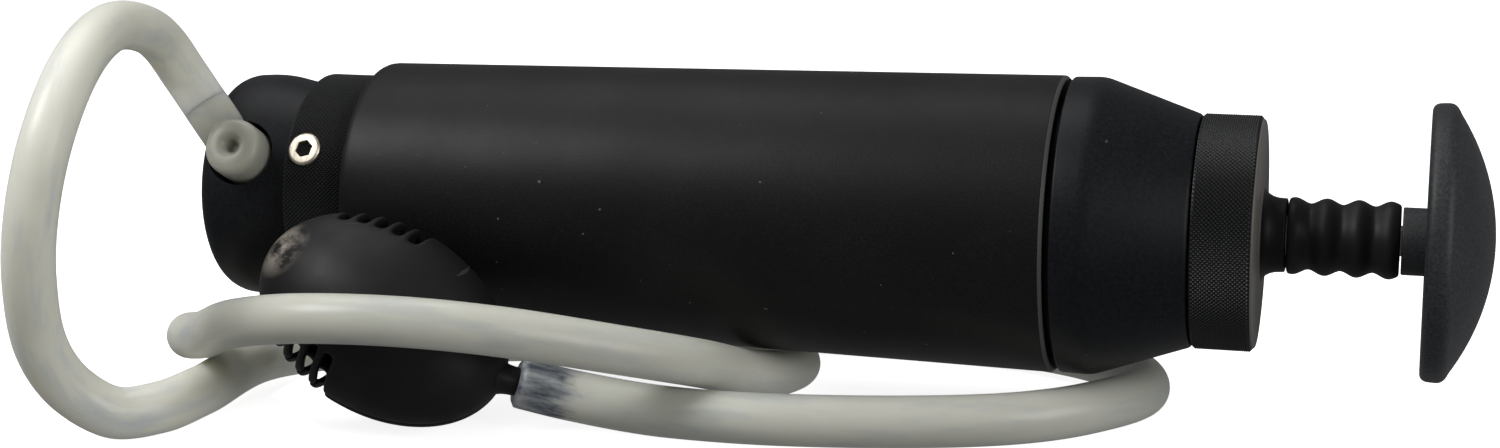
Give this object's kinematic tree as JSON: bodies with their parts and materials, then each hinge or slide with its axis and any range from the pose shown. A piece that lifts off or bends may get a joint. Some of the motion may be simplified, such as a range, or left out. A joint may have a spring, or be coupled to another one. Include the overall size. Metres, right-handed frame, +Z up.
{
  "type": "pump water filter",
  "caption": "Hand-pumped water filter: a tapered black cylinder with a plunger handle, knurled end rings, a pale intake hose and a slotted egg-shaped strainer.",
  "frame": {"origin": "centre of the foot's flat end face, on the pump's axis", "axes": "+X along the pump's axis towards the handle, +Z up from the surface that the hose and the strainer lie on, and the intake port and the outlet on the -Y side"},
  "size_m": [0.2749, 0.1411, 0.0854],
  "materials": {
    "black_anodised": "fine-grained satin black",
    "black_knurled": "satin black, knurled",
    "black_plastic": "smooth satin blue-black",
    "black_rubber": "soft satin black rubber",
    "strainer_rubber": "dull black moulding with rub marks",
    "silicone_hose": "milky translucent silicone",
    "pale_metal": "pale satin metal",
    "steel": "turned stainless steel",
    "ceramic": "chalky unglazed ceramic",
    "inner_plastic": "grey moulded plastic",
    "seal_rubber": "greased black rubber"
  },
  "bodies": {
    "base_assembly": {"foot": "black_plastic", "foot_seal": "seal_rubber", "inlet_nozzle": "pale_metal", "hose_elbow": "silicone_hose", "base_ring": "black_knurled", "base_ring_seal": "seal_rubber", "outlet_nozzle": "pale_metal", "outlet_seal": "seal_rubber", "valve_seat": "inner_plastic", "intake_valve_spring": "steel", "intake_valve_cage": "inner_plastic", "pump_barrel": "steel", "element_bottom_cap": "inner_plastic", "element_bottom_seal": "seal_rubber", "ceramic_element": "ceramic", "element_top_cap": "inner_plastic", "element_top_seal": "seal_rubber", "element_nut": "pale_metal", "intake_hose": "silicone_hose", "strainer_front_shell": "strainer_rubber", "strainer_rear_shell": "strainer_rubber", "strainer_spigot": "black_plastic", "strainer_screen": "steel", "strainer_ballast": "steel"},
    "intake_valve": {"intake_valve_ball": "steel"},
    "gasket_ring": {"housing_gasket": "seal_rubber"},
    "housing_assembly": {"housing_tube": "black_anodised", "pump_head": "black_anodised", "head_seal": "seal_rubber"},
    "cap_ring": {"cap_seal": "seal_rubber"},
    "cap_assembly": {"gland_cap": "black_knurled", "rod_bush": "pale_metal", "rod_seal": "seal_rubber", "gland_retainer": "inner_plastic"},
    "piston_assembly": {"piston_rod": "steel", "piston_nut": "pale_metal", "piston_body": "inner_plastic", "piston_seal": "seal_rubber", "delivery_valve_spring": "steel", "valve_retainer": "steel", "rod_bumper": "black_rubber", "handle_hub": "black_plastic", "handle_knob": "black_plastic"},
    "delivery_valve": {"delivery_valve_disc": "inner_plastic"}
  },
  "joints": [
    {"name": "intake_valve_lift", "type": "slide", "parent": "base_assembly", "child": "intake_valve", "axis": [1, 0, 0], "range_m": [0, 0.0015], "stiffness_N_per_m": 60, "springref_m": -0.002, "deforming": ["intake_valve_spring"]},
    {"name": "housing_lift", "type": "slide", "parent": "base_assembly", "child": "gasket_ring", "axis": [1, 0, 0], "range_m": [0, 0.006]},
    {"name": "housing_turn", "type": "hinge", "parent": "gasket_ring", "child": "housing_assembly", "pos_m": [0.0345, 0, 0], "axis": [1, 0, 0], "range_deg": [0, 1440]},
    {"name": "cap_lift", "type": "slide", "parent": "housing_assembly", "child": "cap_ring", "axis": [1, 0, 0], "range_m": [0, 0.006]},
    {"name": "cap_turn", "type": "hinge", "parent": "cap_ring", "child": "cap_assembly", "pos_m": [0.2078, 0, 0], "axis": [1, 0, 0], "range_deg": [0, 1440]},
    {"name": "piston_slide", "type": "slide", "parent": "cap_assembly", "child": "piston_assembly", "axis": [1, 0, 0], "range_m": [0, 0.1]},
    {"name": "delivery_valve_lift", "type": "slide", "parent": "piston_assembly", "child": "delivery_valve", "axis": [1, 0, 0], "range_m": [0, 0.0012], "stiffness_N_per_m": 60, "springref_m": -0.002, "deforming": ["delivery_valve_spring"]}
  ],
  "couplings": [
    {"joint": "housing_lift", "follows": "housing_turn", "m_per_rad": 0.0002387},
    {"joint": "cap_lift", "follows": "cap_turn", "m_per_rad": 0.0002387}
  ]
}
